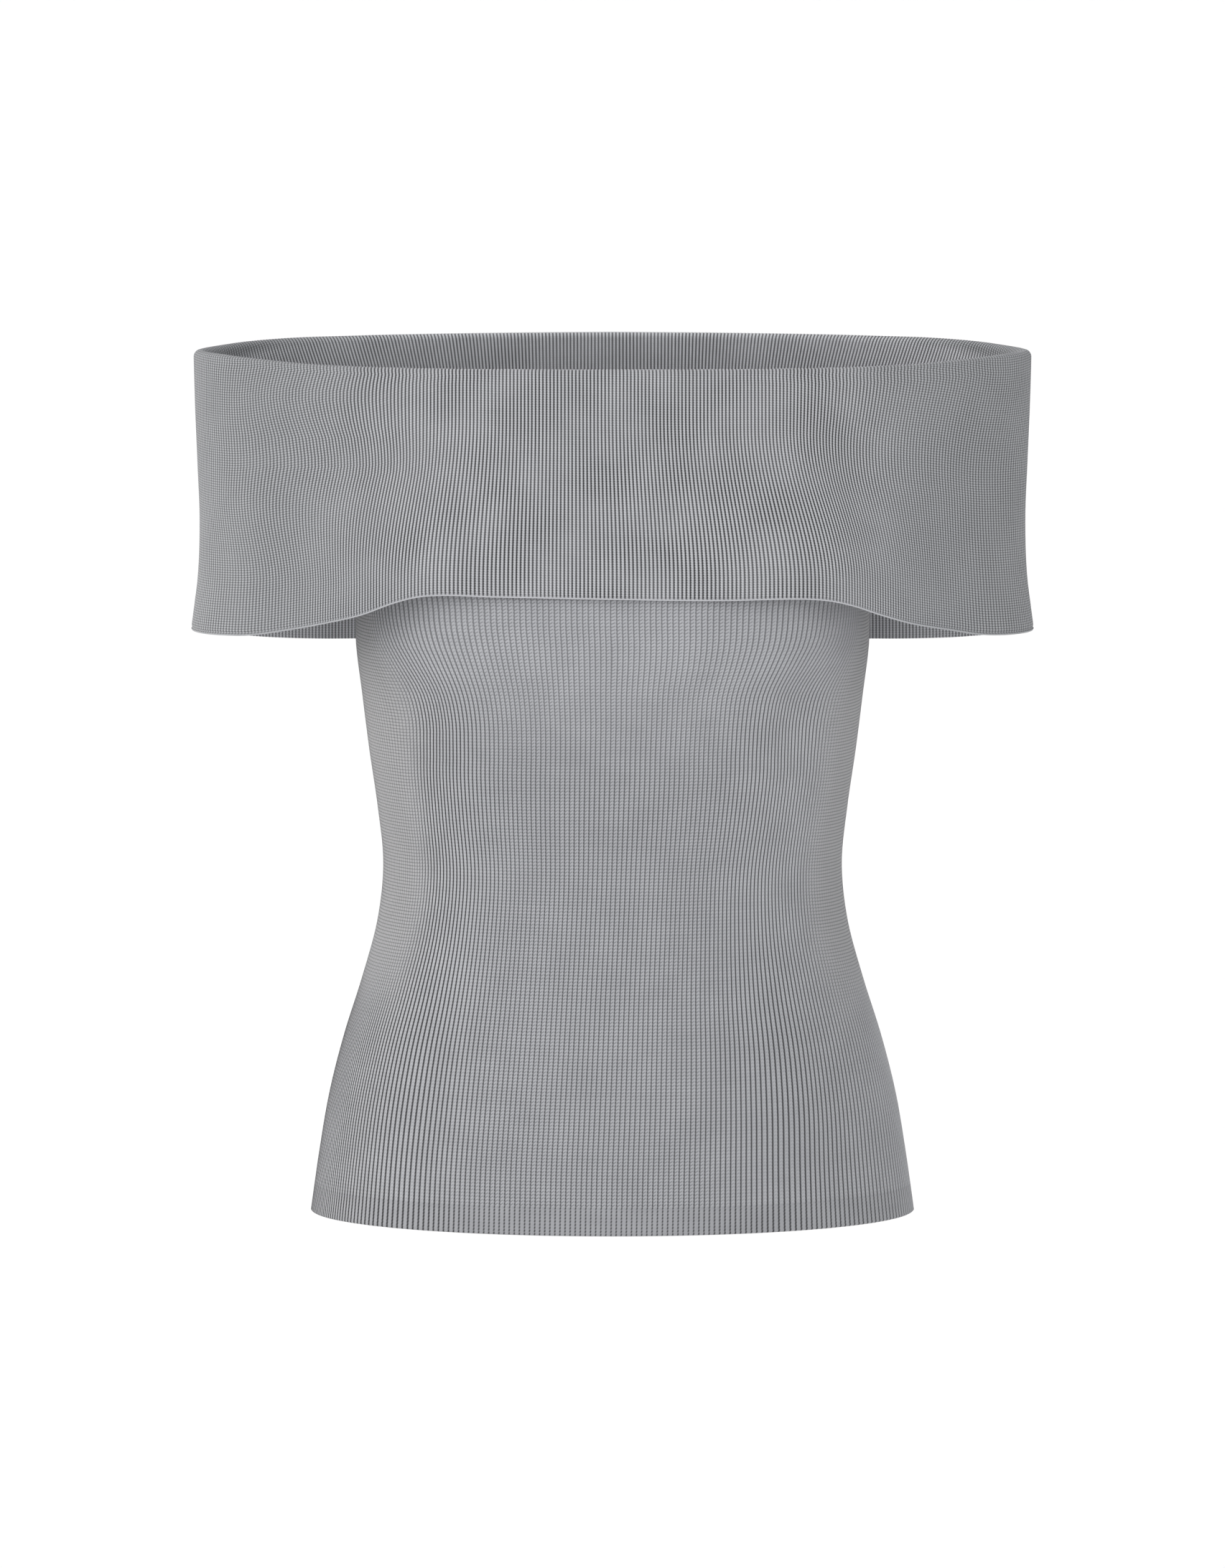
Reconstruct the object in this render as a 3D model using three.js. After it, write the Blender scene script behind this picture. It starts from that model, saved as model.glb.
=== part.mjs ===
// An off-shoulder rib-knit top with a wide fold-down collar, filled out as when worn, with no wearer.
// Millimetres, +Z up, the front faces -Y and the wearer's left arm is at +X.
// The origin is the centre of the neck opening, level with the band's corners over the upper arms.
// Four cut pieces, each a closed wall of cloth: front, back, and the two halves of the folded collar.

import * as THREE from 'three';

// Cloth.
const WALL = 1.8; // thickness between the ribs
const RIB_RAISE = 0.5; // how far a rib stands out of the right side
const SEAM_GAP = 0.3; // left between two pieces at a seam
const FOLD_GAP = 2.4; // hollow inside the collar's fold, between stand and fall
const FOLD_RADIUS = WALL + FOLD_GAP / 2; // of the right side where the collar turns over

// The halves of the top, as the sign of the way that they face along -Y.
const FRONT = 1;
const BACK = -1;

// Levels.
const HEM_Z = -462.6;
const ARMPIT_Z = -128;
const STAND_SEAM_Z = -60; // where the collar's stand is sewn to the front and the back

// Armholes: how far round from the side seam each one reaches at the collar seam, and how fast the
// panels spread from the armpit to the width of the collar.
const ARMHOLE_TURN = THREE.MathUtils.degToRad(41);
const ARMHOLE_ROUNDNESS = 0.5;
const SPREAD_POWER = 1.2;

// Raised ribs. Each stands for about three knitted ones, which are 2 to 3 mm apart.
const BODY_RIBS = 53; // on a panel
const COLLAR_RIBS = 80; // on half a collar

// How closely the cloth follows its shape: columns of its plain wrong side, and rows.
const PLAIN_COLUMNS = 40;
const BODY_ROWS = 10; // from hem to armpit
const ARMHOLE_ROWS = 3; // from armpit to collar seam
const FALL_ROWS = 4;
const FOLD_ROWS = 3;

// Level sections of the right side: half width at the side seams, reach to the front and to the
// back, and how boxy each half is, as the power of a superellipse, where 2 is an ellipse.
const SECTION_COLUMNS = ['z', 'halfWidth', 'front', 'back', 'frontBox', 'backBox'];
const bodySections = table(SECTION_COLUMNS, [
  [-462.6, 162.0, 110.0, 120.0, 2.0, 2.0],
  [-430.0, 157.3, 109.0, 118.0, 2.0, 2.05],
  [-399.0, 151.9, 107.0, 114.0, 2.0, 2.1],
  [-368.0, 144.0, 104.0, 108.0, 2.0, 2.1],
  [-337.0, 134.2, 99.0, 99.0, 2.05, 2.15],
  [-306.0, 125.9, 93.0, 90.0, 2.1, 2.2],
  [-275.0, 122.6, 91.0, 85.0, 2.1, 2.2],
  [-244.0, 125.5, 95.0, 86.0, 2.2, 2.2],
  [-213.0, 129.9, 104.0, 90.0, 2.35, 2.2],
  [-182.0, 133.6, 117.0, 96.0, 2.7, 2.3],
  [-155.0, 136.7, 122.5, 101.0, 3.0, 2.4],
  [-142.0, 137.0, 123.0, 102.0, 3.0, 2.4],
  [-128.0, 137.3, 121.0, 103.0, 2.9, 2.4],
]);
const collarSections = table(SECTION_COLUMNS, [
  [-165.0, 226.1, 125.0, 111.0, 2.3, 2.1],
  [-150.0, 225.2, 125.0, 110.5, 2.3, 2.1],
  [-136.0, 223.4, 124.5, 110.0, 2.3, 2.1],
  [-120.0, 221.4, 123.2, 109.5, 2.3, 2.1],
  [-90.0, 220.4, 118.0, 108.5, 2.2, 2.1],
  [-60.0, 221.5, 110.0, 106.5, 2.1, 2.05],
  [-30.0, 222.7, 103.0, 103.0, 2.05, 2.05],
  [0.0, 223.5, 97.5, 98.0, 2.0, 2.0],
  [6.0, 223.6, 96.5, 97.0, 2.0, 2.0],
]);

// Top of the fold, by the share of the half width, in front and behind.
const foldLine = table(['reach', 'front', 'back'], [
  [0.0, -5.1, 4.5],
  [0.54, -4.9, 3.8],
  [0.66, -4.4, 3.5],
  [0.76, -3.5, 3.3],
  [0.84, -2.2, 2.7],
  [0.9, -1.3, 1.9],
  [0.95, -0.4, 0.9],
  [1.0, 0.0, 0.0],
]);

// Lower edge of the fall. In front it lies level over the bust and dips towards each arm, a little
// further out on the wearer's left; behind it hangs lower and nearly level.
const frontEdge = table(['x', 'z'], [
  [-225, -149.0],
  [-206, -148.0],
  [-192, -146.9],
  [-173, -143.2],
  [-153, -138.9],
  [-133, -133.8],
  [-114, -126.6],
  [-100, -123.2],
  [-60, -123.0],
  [0, -124.0],
  [57, -124.8],
  [100, -124.6],
  [113, -125.6],
  [127, -128.8],
  [142, -134.1],
  [158, -139.0],
  [180, -143.6],
  [195, -146.8],
  [225, -149.0],
]);
const backEdge = table(['reach', 'z'], [
  [0, -163.0],
  [136, -161.6],
  [173, -160.0],
  [192, -158.0],
  [212, -154.0],
  [225, -149.0],
]);

// Soft troughs of the fall where it bridges from the bust to each arm, and behind: centre and
// half length along the collar, and depth at the lower edge.
const collarTroughs = [
  { half: FRONT, x: -168, halfLength: 34, depth: 3.0 },
  { half: FRONT, x: 176, halfLength: 30, depth: 2.2 },
  { half: BACK, x: -158, halfLength: 36, depth: 2.0 },
  { half: BACK, x: 150, halfLength: 40, depth: 1.8 },
];

// A smooth curve through the rows of a table, read by its first column and held level past its ends.
function table(columns, rows) {
  const places = rows.map((row) => row[0]);
  const slopeBetween = (i, c) => (rows[i + 1][c] - rows[i][c]) / (places[i + 1] - places[i]);
  const slopeAt = (i, c) => {
    if (i === 0) return slopeBetween(0, c);
    if (i === rows.length - 1) return slopeBetween(i - 1, c);
    return (slopeBetween(i - 1, c) + slopeBetween(i, c)) / 2;
  };
  return (place) => {
    const held = THREE.MathUtils.clamp(place, places[0], places[places.length - 1]);
    let i = 0;
    while (i < rows.length - 2 && held > places[i + 1]) i += 1;
    const span = places[i + 1] - places[i];
    const t = (held - places[i]) / span;
    const read = {};
    columns.forEach((name, c) => {
      const startPull = slopeAt(i, c) * span * (t ** 3 - 2 * t ** 2 + t);
      const endPull = slopeAt(i + 1, c) * span * (t ** 3 - t ** 2);
      const blend = 3 * t ** 2 - 2 * t ** 3;
      read[name] = rows[i][c] * (1 - blend) + rows[i + 1][c] * blend + startPull + endPull;
    });
    return read;
  };
}

// A place on a section. half is FRONT or BACK. angle runs from 0 to pi clockwise, seen from above,
// between the side seams. inset moves the place towards the wearer, square to the section.
function sectionPlace(section, half, angle, inset) {
  const depth = half === FRONT ? section.front : section.back;
  const power = half === FRONT ? section.frontBox : section.backBox;
  const across = Math.abs(Math.cos(angle)) ** (2 / power) * Math.sign(Math.cos(angle)) * half;
  const along = Math.abs(Math.sin(angle)) ** (2 / power);
  const outX = (Math.abs(across) ** (power - 1) * Math.sign(across)) / section.halfWidth;
  const outY = along ** (power - 1) / depth;
  const length = Math.hypot(outX, outY);
  return {
    x: section.halfWidth * across - (inset * outX) / length,
    y: -half * (SEAM_GAP / 2 + (depth - SEAM_GAP / 2) * along - (inset * outY) / length),
  };
}

// Angles that share half a section into equal lengths, from edgeAngle past one side seam to as far
// before the other.
function equalAngles(section, half, edgeAngle, count) {
  const samples = 360;
  const angles = [edgeAngle];
  const lengths = [0];
  let before = sectionPlace(section, half, edgeAngle, 0);
  for (let i = 1; i <= samples; i += 1) {
    const angle = edgeAngle + ((Math.PI - 2 * edgeAngle) * i) / samples;
    const here = sectionPlace(section, half, angle, 0);
    angles.push(angle);
    lengths.push(lengths[i - 1] + Math.hypot(here.x - before.x, here.y - before.y));
    before = here;
  }
  const shared = [];
  let i = 0;
  for (let k = 0; k <= count; k += 1) {
    const wanted = (lengths[samples] * k) / count;
    while (i < samples - 1 && lengths[i + 1] < wanted) i += 1;
    const t = (wanted - lengths[i]) / (lengths[i + 1] - lengths[i]);
    shared.push(angles[i] + (angles[i + 1] - angles[i]) * t);
  }
  return shared;
}

// Ribs: every other column of the right side stands out.
function ribRaise(column) {
  return column % 2 === 1 ? RIB_RAISE : 0;
}

// A closed wall between two grids of places, each a list of rows that run the same way round.
function wallGeometry(rightSide, wrongSide) {
  const positions = [];
  const faces = [];
  const numbered = (grid) => grid.map((row) => row.map((place) => positions.push(...place) / 3 - 1));
  const right = numbered(rightSide);
  const wrong = numbered(wrongSide);
  sheetFaces(faces, right, false);
  sheetFaces(faces, wrong, true);
  const first = (grid) => grid.map((row) => row[0]);
  const last = (grid) => grid.map((row) => row[row.length - 1]);
  stripFaces(faces, right[0], wrong[0]);
  stripFaces(faces, wrong[wrong.length - 1], right[right.length - 1]);
  stripFaces(faces, first(wrong), first(right));
  stripFaces(faces, last(right), last(wrong));
  const geometry = new THREE.BufferGeometry();
  geometry.setAttribute('position', new THREE.Float32BufferAttribute(positions, 3));
  geometry.setIndex(faces);
  geometry.computeVertexNormals();
  return geometry;
}

// Two triangles for each cell of a grid of vertex numbers.
function sheetFaces(faces, grid, turned) {
  for (let i = 0; i < grid.length - 1; i += 1) {
    for (let j = 0; j < grid[i].length - 1; j += 1) {
      const [a, b, c, d] = [grid[i][j], grid[i + 1][j], grid[i + 1][j + 1], grid[i][j + 1]];
      if (turned) faces.push(a, c, b, a, d, c);
      else faces.push(a, b, c, a, c, d);
    }
  }
}

// Triangles between two edges that may have different numbers of points.
function stripFaces(faces, onward, backward) {
  let i = 0;
  let j = 0;
  while (i < onward.length - 1 || j < backward.length - 1) {
    const stepOnward = (i + 1) / (onward.length - 1) <= (j + 1) / (backward.length - 1);
    if (stepOnward) {
      faces.push(onward[i], onward[i + 1], backward[j]);
      i += 1;
    } else {
      faces.push(onward[i], backward[j + 1], backward[j]);
      j += 1;
    }
  }
}

// Section of the front and back panels at a level. Above the armpit it spreads to fit inside the
// collar, and the armholes take a growing share of it at each side.
function panelSection(z) {
  if (z <= ARMPIT_Z) return { section: bodySections(z), armhole: 0 };
  const armpit = bodySections(ARMPIT_Z);
  const collar = collarSections(STAND_SEAM_Z);
  const share = (z - ARMPIT_Z) / (STAND_SEAM_Z - ARMPIT_Z);
  const tuck = WALL + FOLD_GAP;
  const mix = THREE.MathUtils.lerp;
  const section = {
    halfWidth: mix(armpit.halfWidth, collar.halfWidth - tuck, share ** SPREAD_POWER),
    front: mix(armpit.front, collar.front - tuck, share),
    back: mix(armpit.back, collar.back - tuck, share),
    frontBox: mix(armpit.frontBox, collar.frontBox, share),
    backBox: mix(armpit.backBox, collar.backBox, share),
  };
  return { section, armhole: ARMHOLE_TURN * share ** ARMHOLE_ROUNDNESS };
}

// Front or back panel, from the hem up past the armpits to the collar seam.
function panelGeometry(half) {
  const levels = [];
  for (let i = 0; i < BODY_ROWS; i += 1) levels.push(HEM_Z + ((ARMPIT_Z - HEM_Z) * i) / BODY_ROWS);
  const topZ = STAND_SEAM_Z - SEAM_GAP;
  for (let i = 0; i <= ARMHOLE_ROWS; i += 1) {
    levels.push(ARMPIT_Z + ((topZ - ARMPIT_Z) * i) / ARMHOLE_ROWS);
  }
  const side = (columns, insetAt) => levels.map((z) => {
    const { section, armhole } = panelSection(z);
    return equalAngles(section, half, armhole, columns).map((angle, column) => {
      const place = sectionPlace(section, half, angle, insetAt(column));
      return [place.x, place.y, z];
    });
  });
  return wallGeometry(side(2 * BODY_RIBS, (column) => -ribRaise(column)), side(PLAIN_COLUMNS, () => WALL));
}

// How far the fall sinks in at a place along the collar, growing from the fold to the lower edge.
function troughDepth(half, x, share) {
  const sinks = collarTroughs.filter((trough) => trough.half === half).map((trough) => {
    const away = Math.abs(x - trough.x) / trough.halfLength;
    return away < 1 ? trough.depth * Math.cos((away * Math.PI) / 2) ** 2 : 0;
  });
  return sinks.reduce((sum, sink) => sum + sink, 0) * Math.sin((share * Math.PI) / 2);
}

// One column of the collar, from the fall's lower edge up, over the fold and down the stand.
// radius is the fold's own at this face of the cloth, so it places the fall and the stand too.
function collarColumn(half, angle, radius) {
  const hanging = sectionPlace(collarSections(ARMPIT_Z), half, angle, 0);
  const lowerZ = half === FRONT ? frontEdge(hanging.x).z : backEdge(Math.abs(hanging.x)).z;
  const fold = foldLine(Math.abs(Math.cos(angle)));
  const foldTop = half === FRONT ? fold.front : fold.back;
  const foldCentreZ = foldTop - FOLD_RADIUS;
  const column = [];
  const add = (z, inset) => {
    const place = sectionPlace(collarSections(z), half, angle, inset);
    column.push([place.x, place.y, z]);
  };
  for (let i = 0; i < FALL_ROWS; i += 1) {
    const share = 1 - i / FALL_ROWS;
    const z = foldCentreZ + (lowerZ - foldCentreZ) * share;
    add(z, FOLD_RADIUS - radius + troughDepth(half, hanging.x, share));
  }
  for (let i = 0; i <= FOLD_ROWS; i += 1) {
    const turn = (Math.PI * i) / FOLD_ROWS;
    add(foldCentreZ + radius * Math.sin(turn), FOLD_RADIUS - radius * Math.cos(turn));
  }
  add(STAND_SEAM_Z, FOLD_RADIUS + radius);
  return column;
}

// Front or back half of the collar, folded over along its top.
function collarGeometry(half) {
  const side = (columns, radiusAt) => {
    const angles = equalAngles(collarSections(STAND_SEAM_Z), half, 0, columns);
    const lines = angles.map((angle, column) => collarColumn(half, angle, radiusAt(column)));
    return lines[0].map((_, row) => lines.map((line) => line[row]));
  };
  const rightSide = side(2 * COLLAR_RIBS, (column) => FOLD_RADIUS + ribRaise(column));
  return wallGeometry(rightSide, side(PLAIN_COLUMNS, () => FOLD_RADIUS - WALL));
}

const bodyKnit = new THREE.MeshStandardMaterial({ color: 0x9b9c9f, roughness: 0.92, metalness: 0 });
const collarKnit = new THREE.MeshStandardMaterial({ color: 0x959699, roughness: 0.92, metalness: 0 });

const knitTop = new THREE.Group();
function addPiece(name, geometry, material) {
  const piece = new THREE.Mesh(geometry, material);
  piece.name = name;
  knitTop.add(piece);
}
addPiece('body_front', panelGeometry(FRONT), bodyKnit);
addPiece('body_back', panelGeometry(BACK), bodyKnit);
addPiece('collar_front', collarGeometry(FRONT), collarKnit);
addPiece('collar_back', collarGeometry(BACK), collarKnit);

export default knitTop;
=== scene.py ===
"""Visual model of an off-shoulder rib-knit top with a wide folded collar, filled out as when worn.

Four cut pieces are knitted here in place of the plain solids of the frame: the front and the back of the
body, and the front and the back half of the collar. Each is a closed wall of cloth with every rib raised on
its right side. Sizes are millimetres where nothing else is said, and become metres where a mesh is made.
+Z is up, the front faces -Y, and the wearer's left arm is at +X.
"""

import logging
import math
from dataclasses import dataclass
from enum import Enum
from typing import Any, NamedTuple

import bpy
import numpy as np
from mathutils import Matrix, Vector
from numpy.typing import NDArray


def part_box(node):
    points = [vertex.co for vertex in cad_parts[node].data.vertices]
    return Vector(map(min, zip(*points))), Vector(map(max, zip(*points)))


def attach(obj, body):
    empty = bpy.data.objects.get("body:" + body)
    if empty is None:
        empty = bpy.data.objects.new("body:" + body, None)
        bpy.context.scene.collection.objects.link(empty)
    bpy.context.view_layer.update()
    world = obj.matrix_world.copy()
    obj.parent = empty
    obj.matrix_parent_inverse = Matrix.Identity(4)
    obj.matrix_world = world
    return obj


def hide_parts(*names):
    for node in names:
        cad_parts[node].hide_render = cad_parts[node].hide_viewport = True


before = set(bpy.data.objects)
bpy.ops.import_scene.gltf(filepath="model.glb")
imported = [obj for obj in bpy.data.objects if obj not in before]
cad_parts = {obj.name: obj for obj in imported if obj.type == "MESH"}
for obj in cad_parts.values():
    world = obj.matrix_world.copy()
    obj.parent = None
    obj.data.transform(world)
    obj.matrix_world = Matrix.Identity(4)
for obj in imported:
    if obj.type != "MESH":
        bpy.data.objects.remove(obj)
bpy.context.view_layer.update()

Array = NDArray[np.float64]
Node = bpy.types.Node
Socket = bpy.types.NodeSocket
Tree = bpy.types.NodeTree
Way = tuple[float, float, float]

LOG = logging.getLogger("knit_top")
MM = 0.001

HEM_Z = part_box("body_front")[0].z / MM
ARMPIT_Z = -128.0
STAND_SEAM_Z = -60.0


class Half(Enum):
    """A half of the top, as the sign of the way that it faces along -Y."""

    FRONT = 1
    BACK = -1


@dataclass(frozen=True)
class Cloth:
    """Sizes of the cloth, shared by all four pieces.

    Attributes:
        wall: thickness between the ribs.
        rib_raise: how far a rib stands out of the right side.
        seam_gap: left between two pieces at a seam.
        fold_gap: hollow inside the collar's fold, between stand and fall.
        seam_dip: how far the cloth is drawn in along a side seam, and seam_reach is how many ribs from it.
    """

    wall: float = 1.8
    rib_raise: float = 0.5
    seam_gap: float = 0.3
    fold_gap: float = 2.4
    seam_dip: float = 0.7
    seam_reach: float = 2.2

    @property
    def fold_radius(self) -> float:
        """Radius of the right side where the collar turns over."""
        return self.wall + self.fold_gap / 2


CLOTH = Cloth()


@dataclass(frozen=True)
class SmoothTable:
    """A smooth curve through the rows of a table, read by its first column and held level past its ends.

    Between two rows each column is the cubic that leaves both with the mean of the slopes on their two sides.
    """

    columns: tuple[str, ...]
    rows: tuple[tuple[float, ...], ...]

    def read(self, place: Array) -> dict[str, Array]:
        """Reads every column at many places.

        Args:
            place: values of the first column, in any shape.

        Returns:
            The other columns by name, each in the shape of place.
        """
        table = np.array(self.rows, float)
        places, values = table[:, 0], table[:, 1:]
        between = np.diff(values, axis=0) / np.diff(places)[:, None]
        slopes = np.vstack([between[:1], (between[:-1] + between[1:]) / 2, between[-1:]])
        held = np.clip(place, places[0], places[-1])
        i = np.clip(np.searchsorted(places, held, side="right") - 1, 0, len(places) - 2)
        span = (places[i + 1] - places[i])[..., None]
        t = (held - places[i])[..., None] / span
        blend = 3 * t**2 - 2 * t**3
        start_pull = slopes[i] * span * (t**3 - 2 * t**2 + t)
        end_pull = slopes[i + 1] * span * (t**3 - t**2)
        found = values[i] * (1 - blend) + values[i + 1] * blend + start_pull + end_pull
        return dict(zip(self.columns[1:], np.moveaxis(found, -1, 0)))


SECTION_COLUMNS = ("z", "half_width", "front", "back", "front_box", "back_box")
BODY_SECTIONS = SmoothTable(SECTION_COLUMNS, (
    (-462.6, 162.0, 110.0, 120.0, 2.0, 2.0),
    (-430.0, 157.3, 109.0, 118.0, 2.0, 2.05),
    (-399.0, 151.9, 107.0, 114.0, 2.0, 2.1),
    (-368.0, 144.0, 104.0, 108.0, 2.0, 2.1),
    (-337.0, 134.2, 99.0, 99.0, 2.05, 2.15),
    (-306.0, 125.9, 93.0, 90.0, 2.1, 2.2),
    (-275.0, 122.6, 91.0, 85.0, 2.1, 2.2),
    (-244.0, 125.5, 95.0, 86.0, 2.2, 2.2),
    (-213.0, 129.9, 104.0, 90.0, 2.35, 2.2),
    (-182.0, 133.6, 117.0, 96.0, 2.7, 2.3),
    (-155.0, 136.7, 122.5, 101.0, 3.0, 2.4),
    (-142.0, 137.0, 123.0, 102.0, 3.0, 2.4),
    (-128.0, 137.3, 121.0, 103.0, 2.9, 2.4),
))
COLLAR_SECTIONS = SmoothTable(SECTION_COLUMNS, (
    (-165.0, 226.1, 125.0, 111.0, 2.3, 2.1),
    (-150.0, 225.2, 125.0, 110.5, 2.3, 2.1),
    (-136.0, 223.4, 124.5, 110.0, 2.3, 2.1),
    (-120.0, 221.4, 123.2, 109.5, 2.3, 2.1),
    (-90.0, 220.4, 118.0, 108.5, 2.2, 2.1),
    (-60.0, 221.5, 110.0, 106.5, 2.1, 2.05),
    (-30.0, 222.7, 103.0, 103.0, 2.05, 2.05),
    (0.0, 223.5, 97.5, 98.0, 2.0, 2.0),
    (6.0, 223.6, 96.5, 97.0, 2.0, 2.0),
))

# Top of the collar's fold, by the share of the half width.
FOLD_LINE = SmoothTable(("reach", "front", "back"), (
    (0.0, -5.1, 4.5),
    (0.54, -4.9, 3.8),
    (0.66, -4.4, 3.5),
    (0.76, -3.5, 3.3),
    (0.84, -2.2, 2.7),
    (0.9, -1.3, 1.9),
    (0.95, -0.4, 0.9),
    (1.0, 0.0, 0.0),
))

# Lower edge of the fall: level over the bust, and dipping towards each arm.
FRONT_EDGE = SmoothTable(("x", "z"), (
    (-225, -149.0),
    (-206, -148.0),
    (-192, -146.9),
    (-173, -143.2),
    (-153, -138.9),
    (-133, -133.8),
    (-114, -126.6),
    (-100, -123.2),
    (-60, -123.0),
    (0, -124.0),
    (57, -124.8),
    (100, -124.6),
    (113, -125.6),
    (127, -128.8),
    (142, -134.1),
    (158, -139.0),
    (180, -143.6),
    (195, -146.8),
    (225, -149.0),
))
BACK_EDGE = SmoothTable(("reach", "z"), (
    (0, -163.0),
    (136, -161.6),
    (173, -160.0),
    (192, -158.0),
    (212, -154.0),
    (225, -149.0),
))

# Where the front's ribs run, by level: how far the middle one wanders towards -X, and how far from it the
# 16th, 32nd and 44th ribs lie, all as shares of the way round the half. They crowd beside the bust and fan
# out over the hips.
BODY_FLOW = SmoothTable(("z", "drift", "rib_16", "rib_32", "rib_44"), (
    (-461, 0.027, 0.1010, 0.2075, 0.2975),
    (-430, 0.026, 0.1030, 0.2105, 0.3005),
    (-399, 0.023, 0.1045, 0.2130, 0.3045),
    (-368, 0.020, 0.1065, 0.2165, 0.3070),
    (-337, 0.017, 0.1095, 0.2185, 0.3045),
    (-306, 0.013, 0.1140, 0.2225, 0.3020),
    (-275, 0.009, 0.1165, 0.2250, 0.3020),
    (-244, 0.006, 0.1160, 0.2245, 0.2975),
    (-221, 0.004, 0.1125, 0.2185, 0.2885),
    (-206, 0.003, 0.1080, 0.2095, 0.2762),
    (-190, 0.002, 0.1040, 0.2000, 0.2626),
    (-175, 0.002, 0.1026, 0.1984, 0.2614),
    (-159, 0.001, 0.1054, 0.2088, 0.2810),
    (-148, 0.001, 0.1073, 0.2182, 0.2988),
    (-137, 0.002, 0.1091, 0.2245, 0.3095),
    (-118, 0.002, 0.1115, 0.2325, 0.3230),
))
FLOW_RIBS = (0, 16, 32, 44, 75)
BODY_RIBS = 150

# The wrong side's courses are numbered from here on.
WRONG_COURSE = 1000


@dataclass(frozen=True)
class Push:
    """A place where the fall's ribs are pushed sideways as they run down.

    Attributes:
        centre: along the collar from the middle front, towards +X.
        reach: how far along the collar the push fades to nothing.
        start_z: where the push starts, and full_z is where it is whole.
        amount: the push, towards +X.
    """

    centre: float
    reach: float
    start_z: float
    full_z: float
    amount: float


COLLAR_FLOW = (
    Push(31.4, 60.4, -28.6, -114.7, 4.8),
    Push(113.2, 97.2, -35.7, -114.6, 17.1),
    Push(209.4, 130.0, -5.0, -70.0, -22.4),
    Push(188.8, 69.6, -18.1, -75.0, 11.5),
    Push(-140.0, 127.4, -29.9, -114.8, -12.8),
    Push(-170.2, 90.3, -31.9, -61.2, 15.4),
    Push(-171.5, 75.1, -15.7, -44.0, 16.6),
    Push(-174.6, 78.7, -5.0, -65.0, -25.0),
    Push(-219.9, 130.0, -71.3, -119.4, 14.3),
)


@dataclass(frozen=True)
class Trough:
    """A soft trough of the fall: its middle and half length along it, and its depth at the lower edge."""

    half: Half
    x: float
    half_length: float
    depth: float


TROUGHS = (
    Trough(Half.FRONT, -168.0, 34.0, 3.0),
    Trough(Half.FRONT, 176.0, 30.0, 2.2),
    Trough(Half.BACK, -158.0, 36.0, 2.0),
    Trough(Half.BACK, 150.0, 40.0, 1.8),
)


@dataclass(frozen=True)
class Section:
    """Level sections of one half. Each size is an array that goes with the turns that are asked for."""

    half: Half
    half_width: Array
    depth: Array
    power: Array

    def place(self, turn: Array, inset: Array | float) -> tuple[Array, Array]:
        """Places on the sections.

        A section is half a superellipse: across to the power n and along to the power n add up to 1, where
        across is the cosine of the turn to the power 2/n and along its sine to the same power. The place is
        then moved square to the section, towards the wearer, by inset.

        Args:
            turn: from 0 at the left side seam to pi at the right one, seen from outside.
            inset: distance towards the wearer.

        Returns:
            x and y.
        """
        cosine = np.cos(turn)
        across = -self.half.value * np.sign(cosine) * np.abs(cosine) ** (2 / self.power)
        along = np.abs(np.sin(turn)) ** (2 / self.power)
        out_x = np.abs(across) ** (self.power - 1) * np.sign(across) / self.half_width
        out_y = along ** (self.power - 1) / self.depth
        length = np.hypot(out_x, out_y)
        gap = CLOTH.seam_gap / 2
        x = self.half_width * across - inset * out_x / length
        y = -self.half.value * (gap + (self.depth - gap) * along - inset * out_y / length)
        return x, y


def collar_section(half: Half, z: Array) -> Section:
    """The collar's sections.

    Args:
        half: which half of the collar.
        z: their levels.

    Returns:
        The sections.
    """
    row = COLLAR_SECTIONS.read(z)
    side = half.name.lower()
    return Section(half, row["half_width"], row[side], row[f"{side}_box"])


def panel_section(half: Half, z: Array) -> tuple[Section, Array]:
    """A panel's sections, and the turn that its armholes take at each side.

    Above the armpit the section spreads to fit inside the collar, as a mix of the two by the share of the
    way up.

    Args:
        half: which panel.
        z: the levels.

    Returns:
        The sections, and the turn of the armhole at each level.
    """
    armhole_turn, armhole_roundness, spread_power = math.radians(41), 0.5, 1.2
    side = half.name.lower()
    row = BODY_SECTIONS.read(np.minimum(z, ARMPIT_Z))
    top = COLLAR_SECTIONS.read(np.full_like(z, STAND_SEAM_Z))
    share = np.clip((z - ARMPIT_Z) / (STAND_SEAM_Z - ARMPIT_Z), 0, 1)
    tuck = CLOTH.wall + CLOTH.fold_gap
    width_share = share**spread_power
    section = Section(
        half,
        row["half_width"] * (1 - width_share) + (top["half_width"] - tuck) * width_share,
        row[side] * (1 - share) + (top[side] - tuck) * share,
        row[f"{side}_box"] * (1 - share) + top[f"{side}_box"] * share,
    )
    return section, armhole_turn * share**armhole_roundness


def lengths_round(section: Section) -> tuple[Array, Array]:
    """Measures round each section, in samples that lie closer at its ends.

    Args:
        section: the sections, one to a row.

    Returns:
        The turns and the length up to each, rows by samples.
    """
    samples = 1500
    turn = np.tile(math.pi * (1 - np.cos(np.linspace(0, math.pi, samples))) / 2, (len(section.half_width), 1))
    x, y = section.place(turn, 0.0)
    steps = np.hypot(np.diff(x, axis=1), np.diff(y, axis=1))
    return turn, np.hstack([np.zeros((len(turn), 1)), np.cumsum(steps, axis=1)])


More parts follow.
